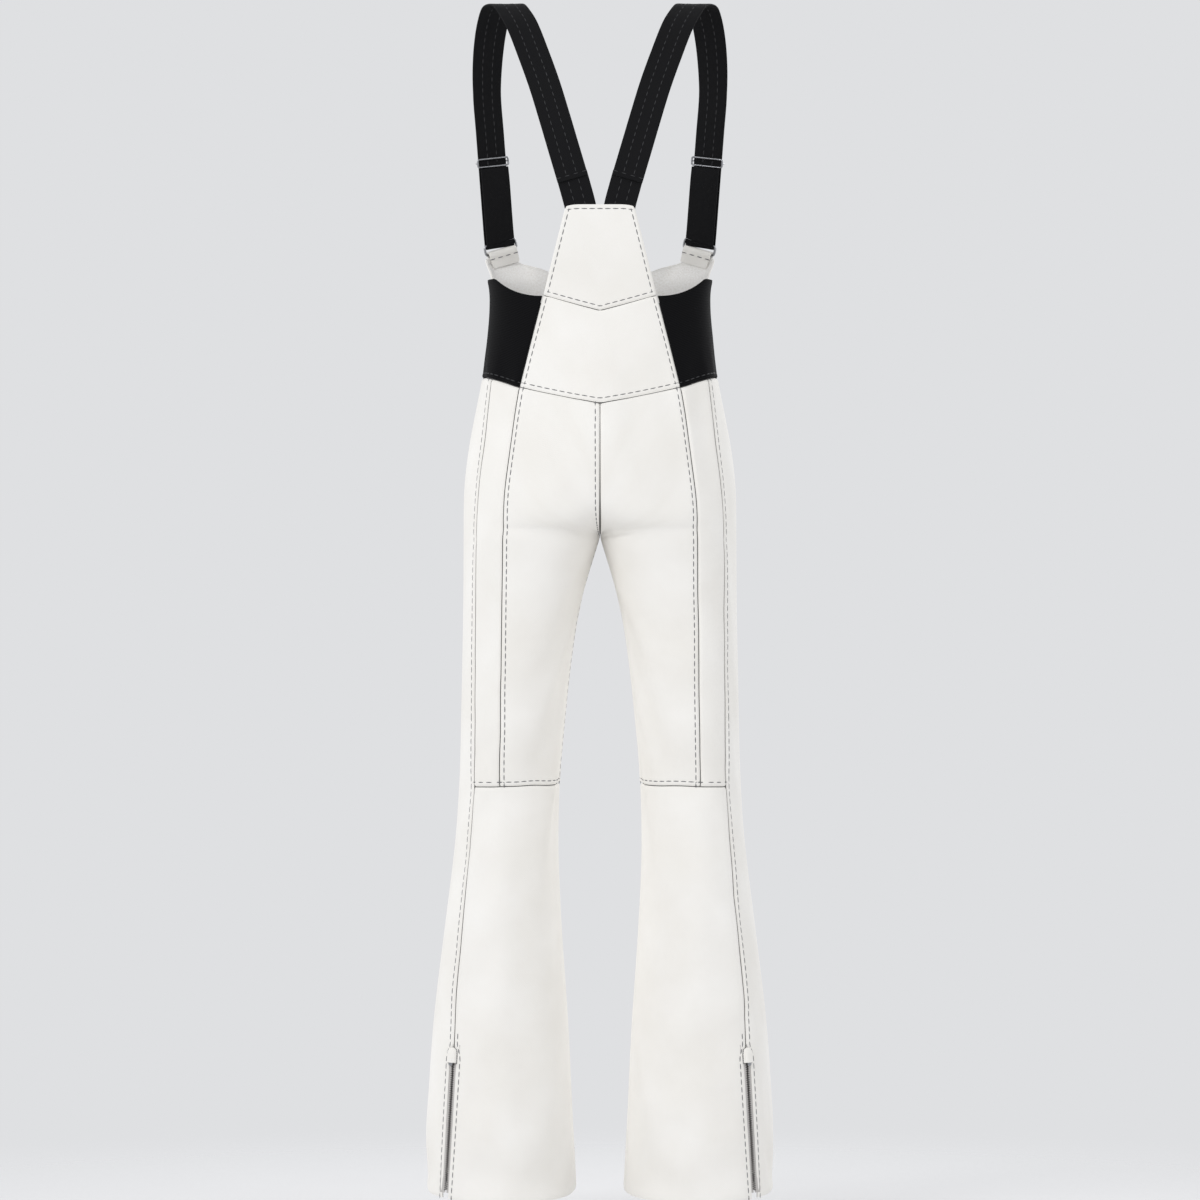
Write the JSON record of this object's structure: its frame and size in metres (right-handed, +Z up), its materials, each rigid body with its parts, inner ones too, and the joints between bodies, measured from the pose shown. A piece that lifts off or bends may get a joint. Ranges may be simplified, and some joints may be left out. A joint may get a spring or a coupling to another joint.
{
  "type": "ski pants",
  "caption": "Slim flared softshell bib ski pants with stretch side panels, shoulder straps on rings and adjusters, zipped hems and boot gaiters.",
  "frame": {"origin": "midway between the two shoulder straps, level with the undersides of their crowns, where a shoulder or hanger holds them", "axes": "+Z up towards the straps, +Y towards the wearer's front, +X to the wearer's right"},
  "size_m": [0.4284, 0.2371, 1.4561],
  "materials": {
    "shell_fabric": "matte",
    "stretch_fabric": "matte",
    "webbing": "matte",
    "lining_fabric": "matte",
    "zip_tape": "matte",
    "strap_metal": "satin",
    "zip_metal": "satin"
  },
  "bodies": {
    "root": {"back_yoke": "shell_fabric", "back_waist_panel": "shell_fabric", "side_stretch_panel_right": "stretch_fabric", "front_bib_right": "shell_fabric", "seat_right": "shell_fabric", "back_strip_hip_right": "shell_fabric", "side_hip_right": "shell_fabric", "front_hip_right": "shell_fabric", "hip_fold_right": "shell_fabric", "shoulder_strap_right": "webbing", "strap_return_right": "webbing", "pocket_zip_chain_right": "zip_tape", "side_stretch_panel_left": "stretch_fabric", "front_bib_left": "shell_fabric", "seat_left": "shell_fabric", "back_strip_hip_left": "shell_fabric", "side_hip_left": "shell_fabric", "front_hip_left": "shell_fabric", "hip_fold_left": "shell_fabric", "shoulder_strap_left": "webbing", "strap_return_left": "webbing", "pocket_zip_chain_left": "zip_tape", "front_zip_chain": "zip_tape"},
    "thigh_right": {"back_thigh_right": "shell_fabric", "back_strip_thigh_right": "shell_fabric", "side_thigh_right": "shell_fabric", "front_thigh_right": "shell_fabric", "knee_fold_right": "shell_fabric"},
    "shin_right": {"back_shin_right": "shell_fabric", "side_shin_right": "shell_fabric", "front_shin_right": "shell_fabric", "boot_gaiter_right": "lining_fabric", "hem_zip_chain_right": "zip_tape", "zip_garage_right": "lining_fabric"},
    "hem_slider_right": {"hem_zip_slider_right": "zip_metal", "hem_zip_pull_right": "zip_metal"},
    "pocket_slider_right": {"pocket_zip_slider_right": "zip_metal"},
    "pocket_pull_right": {"pocket_zip_pull_right": "zip_metal"},
    "adjuster_right": {"strap_adjuster_right": "strap_metal"},
    "ring_right": {"strap_ring_right": "strap_metal"},
    "thigh_left": {"back_thigh_left": "shell_fabric", "back_strip_thigh_left": "shell_fabric", "side_thigh_left": "shell_fabric", "front_thigh_left": "shell_fabric", "knee_fold_left": "shell_fabric"},
    "shin_left": {"back_shin_left": "shell_fabric", "side_shin_left": "shell_fabric", "front_shin_left": "shell_fabric", "boot_gaiter_left": "lining_fabric", "hem_zip_chain_left": "zip_tape", "zip_garage_left": "lining_fabric"},
    "hem_slider_left": {"hem_zip_slider_left": "zip_metal", "hem_zip_pull_left": "zip_metal"},
    "pocket_slider_left": {"pocket_zip_slider_left": "zip_metal"},
    "pocket_pull_left": {"pocket_zip_pull_left": "zip_metal"},
    "adjuster_left": {"strap_adjuster_left": "strap_metal"},
    "ring_left": {"strap_ring_left": "strap_metal"},
    "front_slider": {"front_zip_slider": "zip_metal"},
    "front_pull": {"front_zip_pull": "zip_metal"}
  },
  "joints": [
    {"name": "hip_swing_right", "type": "hinge", "parent": "root", "child": "thigh_right", "pos_m": [0.11836, -0.00725, -0.7175], "axis": [1, 0, 0], "range_deg": [-20, 45], "deforming": ["hip_fold_right"]},
    {"name": "knee_bend_right", "type": "hinge", "parent": "thigh_right", "child": "shin_right", "pos_m": [0.12286, -0.00779, -1.0095], "axis": [-1, 0, 0], "range_deg": [0, 60], "deforming": ["knee_fold_right"]},
    {"name": "strap_adjust_right", "type": "slide", "parent": "root", "child": "adjuster_right", "axis": [0.0736, -0.1318, 0.9885], "range_m": [-0.065, 0.05], "deforming": ["strap_return_right"]},
    {"name": "ring_tilt_right", "type": "hinge", "parent": "root", "child": "ring_right", "pos_m": [0.12428, 0.0903, -0.28394], "axis": [0.8663, -0.4149, -0.2781], "range_deg": [-10, 10]},
    {"name": "hip_swing_left", "type": "hinge", "parent": "root", "child": "thigh_left", "pos_m": [-0.11836, -0.00725, -0.7175], "axis": [1, 0, 0], "range_deg": [-20, 45], "deforming": ["hip_fold_left"]},
    {"name": "knee_bend_left", "type": "hinge", "parent": "thigh_left", "child": "shin_left", "pos_m": [-0.12286, -0.00779, -1.0095], "axis": [-1, 0, 0], "range_deg": [0, 60], "deforming": ["knee_fold_left"]},
    {"name": "strap_adjust_left", "type": "slide", "parent": "root", "child": "adjuster_left", "axis": [-0.0736, -0.1318, 0.9885], "range_m": [-0.065, 0.05], "deforming": ["strap_return_left"]},
    {"name": "ring_tilt_left", "type": "hinge", "parent": "root", "child": "ring_left", "pos_m": [-0.12428, 0.0903, -0.28394], "axis": [0.8663, 0.4149, 0.2781], "range_deg": [-10, 10]},
    {"name": "hem_zip_run_right", "type": "slide", "parent": "shin_right", "child": "hem_slider_right", "axis": [0.0566, -0.0159, -0.9983], "range_m": [0, 0.155]},
    {"name": "hem_zip_run_left", "type": "slide", "parent": "shin_left", "child": "hem_slider_left", "axis": [-0.0566, -0.0159, -0.9983], "range_m": [0, 0.155]},
    {"name": "pocket_zip_run_right", "type": "slide", "parent": "root", "child": "pocket_slider_right", "axis": [0.0504, 0.062, -0.9968], "range_m": [0, 0.105]},
    {"name": "pocket_pull_flip_right", "type": "hinge", "parent": "pocket_slider_right", "child": "pocket_pull_right", "pos_m": [0.14279, 0.06095, -0.51517], "axis": [0.6719, -0.7405, -0.012], "range_deg": [0, 150]},
    {"name": "pocket_zip_run_left", "type": "slide", "parent": "root", "child": "pocket_slider_left", "axis": [-0.0504, 0.062, -0.9968], "range_m": [0, 0.105]},
    {"name": "pocket_pull_flip_left", "type": "hinge", "parent": "pocket_slider_left", "child": "pocket_pull_left", "pos_m": [-0.14279, 0.06095, -0.51517], "axis": [0.6719, 0.7405, 0.012], "range_deg": [0, 150]},
    {"name": "front_zip_run", "type": "slide", "parent": "root", "child": "front_slider", "axis": [0, -0.0007, -1], "range_m": [0, 0.218]},
    {"name": "front_pull_flip", "type": "hinge", "parent": "front_slider", "child": "front_pull", "pos_m": [0, 0.10614, -0.3445], "axis": [1, -0.0006, 0], "range_deg": [0, 150]}
  ]
}
